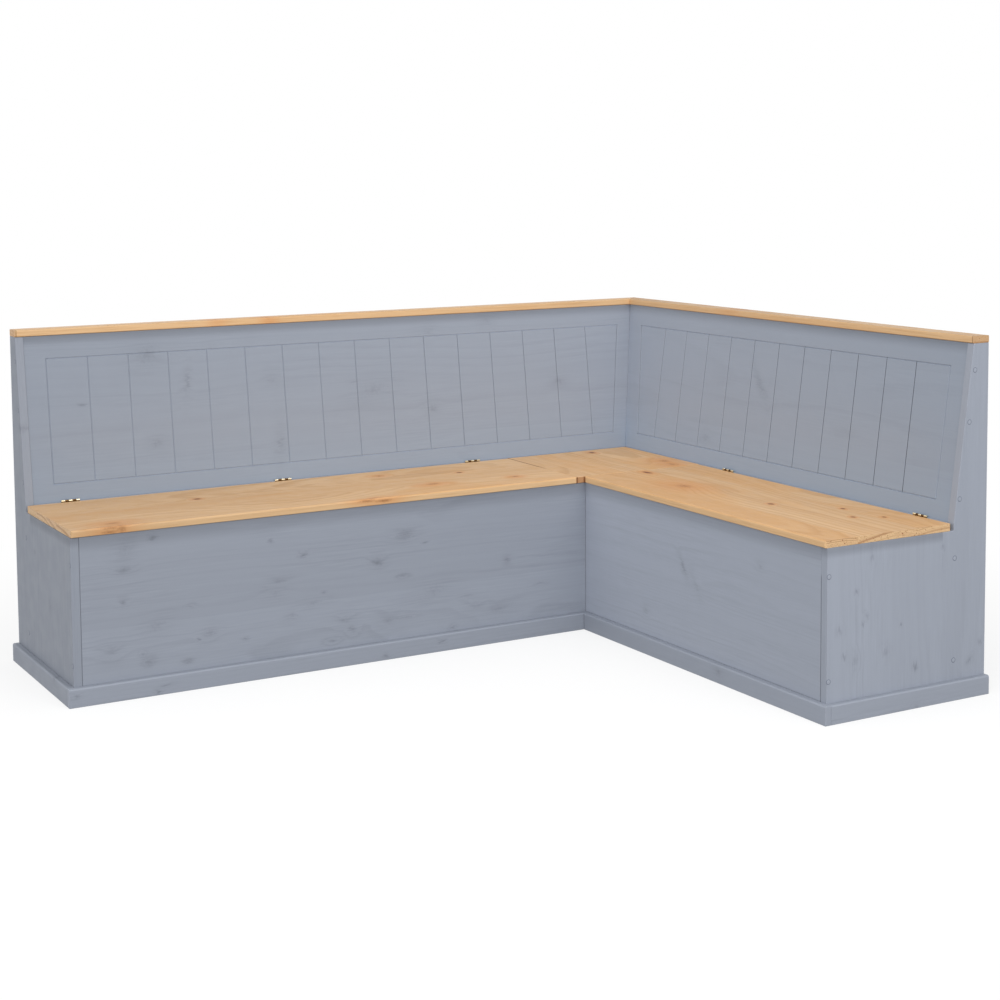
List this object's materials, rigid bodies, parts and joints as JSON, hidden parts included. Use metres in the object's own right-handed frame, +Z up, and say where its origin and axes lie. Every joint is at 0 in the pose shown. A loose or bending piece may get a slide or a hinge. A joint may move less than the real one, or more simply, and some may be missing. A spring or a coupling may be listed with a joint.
{
  "type": "corner storage bench",
  "caption": "L-shaped pine corner bench with leaning grooved backs, a cap rail and hinged seat lids over storage chests.",
  "frame": {"origin": "middle of the bounding box in plan, on the floor", "axes": "+X along the long leg towards the wall corner, +Y towards the wall behind the long leg, +Z up"},
  "size_m": [2.0174, 1.5924, 0.9],
  "materials": {
    "paint": "grey-blue satin paint over pine, with the grain and knots faintly through it",
    "oiled_pine": "honey-oiled knotty pine, satin",
    "raw_pine": "bare planed pine",
    "brass": "polished brass plate"
  },
  "bodies": {
    "frame": {"long_end_panel": "paint", "long_front_panel": "paint", "long_back_panel": "paint", "long_backrest": "paint", "long_cap_rail": "oiled_pine", "long_front_plinth": "paint", "long_end_plinth": "paint", "long_hinge_1_fixed_leaf": "brass", "long_hinge_1_pin": "brass", "long_hinge_2_fixed_leaf": "brass", "long_hinge_2_pin": "brass", "long_hinge_3_fixed_leaf": "brass", "long_hinge_3_pin": "brass", "long_back_floor_cleat": "raw_pine", "long_front_floor_cleat": "raw_pine", "long_back_rib_1": "paint", "long_back_rib_2": "paint", "corner_seat": "oiled_pine", "inner_corner_post": "paint", "back_corner_post": "raw_pine", "long_seam_rail": "raw_pine", "corner_seat_long_cleat": "raw_pine", "long_bottom_board": "raw_pine", "short_end_panel": "paint", "short_front_panel": "paint", "short_back_panel": "paint", "short_backrest": "paint", "short_cap_rail": "oiled_pine", "short_front_plinth": "paint", "short_end_plinth": "paint", "short_hinge_1_fixed_leaf": "brass", "short_hinge_1_pin": "brass", "short_hinge_2_fixed_leaf": "brass", "short_hinge_2_pin": "brass", "short_back_floor_cleat": "raw_pine", "short_front_floor_cleat": "raw_pine", "short_back_rib_1": "paint", "short_seam_rail": "raw_pine", "corner_seat_short_cleat": "raw_pine", "corner_floor_bearer": "raw_pine", "short_bottom_board": "raw_pine"},
    "long_lid": {"long_lid": "oiled_pine", "long_lid_batten_1": "raw_pine", "long_lid_batten_2": "raw_pine", "long_lid_batten_3": "raw_pine", "long_hinge_1_lid_leaf": "brass", "long_hinge_2_lid_leaf": "brass", "long_hinge_3_lid_leaf": "brass"},
    "short_lid": {"short_lid": "oiled_pine", "short_lid_batten_1": "raw_pine", "short_lid_batten_2": "raw_pine", "short_hinge_1_lid_leaf": "brass", "short_hinge_2_lid_leaf": "brass"}
  },
  "joints": [
    {"name": "long_lid_hinge", "type": "hinge", "parent": "frame", "child": "long_lid", "pos_m": [-0.25912, 0.68305, 0.44305], "axis": [-1, 0, 0], "range_deg": [0, 98.5]},
    {"name": "short_lid_hinge", "type": "hinge", "parent": "frame", "child": "short_lid", "pos_m": [0.89555, -0.246, 0.44305], "axis": [0, 1, 0], "range_deg": [0, 98.5]}
  ]
}
